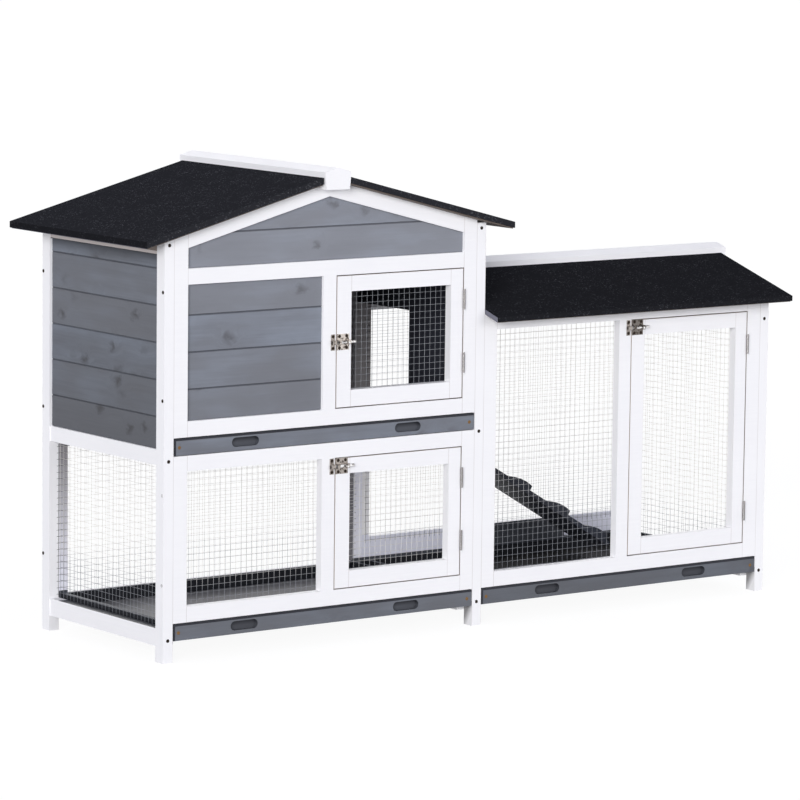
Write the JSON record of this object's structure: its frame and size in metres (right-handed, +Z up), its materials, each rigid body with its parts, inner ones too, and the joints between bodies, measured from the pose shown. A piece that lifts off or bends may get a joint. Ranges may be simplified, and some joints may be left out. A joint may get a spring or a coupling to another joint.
{
  "type": "guinea pig hutch",
  "caption": "Raised wooden guinea pig hutch with a pitched felt roof and an attached wire-mesh run, with hinged doors on barrel bolts, slide-out trays and an inner ramp.",
  "frame": {"origin": "middle of the whole hutch's footprint, on the ground", "axes": "+X from the house towards the run, +Y from the doors towards the back, +Z up"},
  "size_m": [1.583, 0.52, 0.9247],
  "materials": {
    "white_wood": "white satin paint on softwood",
    "grey_wood": "grey stain on softwood, grain showing",
    "bare_wood": "plain sawn softwood",
    "roof_board": "plain board under the felt",
    "roof_felt": "black mineral roofing felt",
    "galvanised_wire": "galvanised",
    "plated_steel": "nickel plated"
  },
  "bodies": {
    "hutch": {"back_left_post": "white_wood", "back_middle_post": "white_wood", "back_right_post": "white_wood", "back_wall_boards": "grey_wood", "back_wall_frame": "white_wood", "fixed_hinge_leaves": "plated_steel", "front_gable_boards": "grey_wood", "front_left_post": "white_wood", "front_middle_post": "white_wood", "front_right_post": "white_wood", "front_wall_boards": "grey_wood", "house_rafters": "white_wood", "house_roof_felt": "roof_felt", "latch_keepers": "plated_steel", "left_roof_panel": "roof_board", "left_wall_boards": "grey_wood", "left_wall_mesh": "galvanised_wire", "left_wall_rails": "white_wood", "lower_back_mesh": "galvanised_wire", "lower_front_frame": "white_wood", "lower_front_mesh": "galvanised_wire", "ridge_beam": "white_wood", "right_roof_panel": "roof_board", "right_wall_boards": "grey_wood", "right_wall_rails": "white_wood", "run_back_frame": "white_wood", "run_back_mesh": "galvanised_wire", "run_back_roof_panel": "roof_board", "run_end_gable": "white_wood", "run_end_mesh": "galvanised_wire", "run_end_rails": "white_wood", "run_front_frame": "white_wood", "run_front_mesh": "galvanised_wire", "run_front_roof_panel": "roof_board", "run_ridge_beam": "white_wood", "run_roof_felt": "roof_felt", "tray_runners": "bare_wood", "upper_front_frame": "white_wood"},
    "upper_door": {"upper_door_frame": "white_wood", "upper_door_mesh": "galvanised_wire", "upper_door_hardware": "plated_steel"},
    "upper_bolt": {"upper_door_bolt": "plated_steel"},
    "upper_tray": {"upper_tray_front": "grey_wood", "upper_tray_pan": "bare_wood"},
    "lower_door": {"lower_door_frame": "white_wood", "lower_door_mesh": "galvanised_wire", "lower_door_hardware": "plated_steel"},
    "lower_bolt": {"lower_door_bolt": "plated_steel"},
    "lower_tray": {"lower_tray_front": "grey_wood", "lower_tray_pan": "bare_wood"},
    "run_door": {"run_door_frame": "white_wood", "run_door_mesh": "galvanised_wire", "run_door_hardware": "plated_steel"},
    "run_bolt": {"run_door_bolt": "plated_steel"},
    "run_tray": {"run_tray_front": "grey_wood", "run_tray_pan": "bare_wood"},
    "ramp": {"ramp": "bare_wood", "ramp_hinge_leaf": "plated_steel"}
  },
  "joints": [
    {"name": "upper_door_hinge", "type": "hinge", "parent": "hutch", "child": "upper_door", "pos_m": [-0.0395, -0.2189, 0.587], "axis": [0, 0, 1], "range_deg": [0, 120]},
    {"name": "lower_door_hinge", "type": "hinge", "parent": "hutch", "child": "lower_door", "pos_m": [-0.0395, -0.2189, 0.233], "axis": [0, 0, 1], "range_deg": [0, 150]},
    {"name": "run_door_hinge", "type": "hinge", "parent": "hutch", "child": "run_door", "pos_m": [0.6945, -0.2189, 0.347], "axis": [0, 0, 1], "range_deg": [0, 150]},
    {"name": "upper_bolt_slide", "type": "slide", "parent": "upper_door", "child": "upper_bolt", "axis": [1, 0, 0], "range_m": [-0.0115, 0]},
    {"name": "lower_bolt_slide", "type": "slide", "parent": "lower_door", "child": "lower_bolt", "axis": [1, 0, 0], "range_m": [-0.0115, 0]},
    {"name": "run_bolt_slide", "type": "slide", "parent": "run_door", "child": "run_bolt", "axis": [1, 0, 0], "range_m": [-0.0115, 0]},
    {"name": "upper_tray_slide", "type": "slide", "parent": "hutch", "child": "upper_tray", "axis": [0, -1, 0], "range_m": [0, 0.35]},
    {"name": "lower_tray_slide", "type": "slide", "parent": "hutch", "child": "lower_tray", "axis": [0, -1, 0], "range_m": [0, 0.35]},
    {"name": "run_tray_slide", "type": "slide", "parent": "hutch", "child": "run_tray", "axis": [0, -1, 0], "range_m": [0, 0.35]},
    {"name": "ramp_hinge", "type": "hinge", "parent": "hutch", "child": "ramp", "pos_m": [0.0154, 0.1015, 0.401], "axis": [0, -1, 0], "range_deg": [0, 45]}
  ]
}
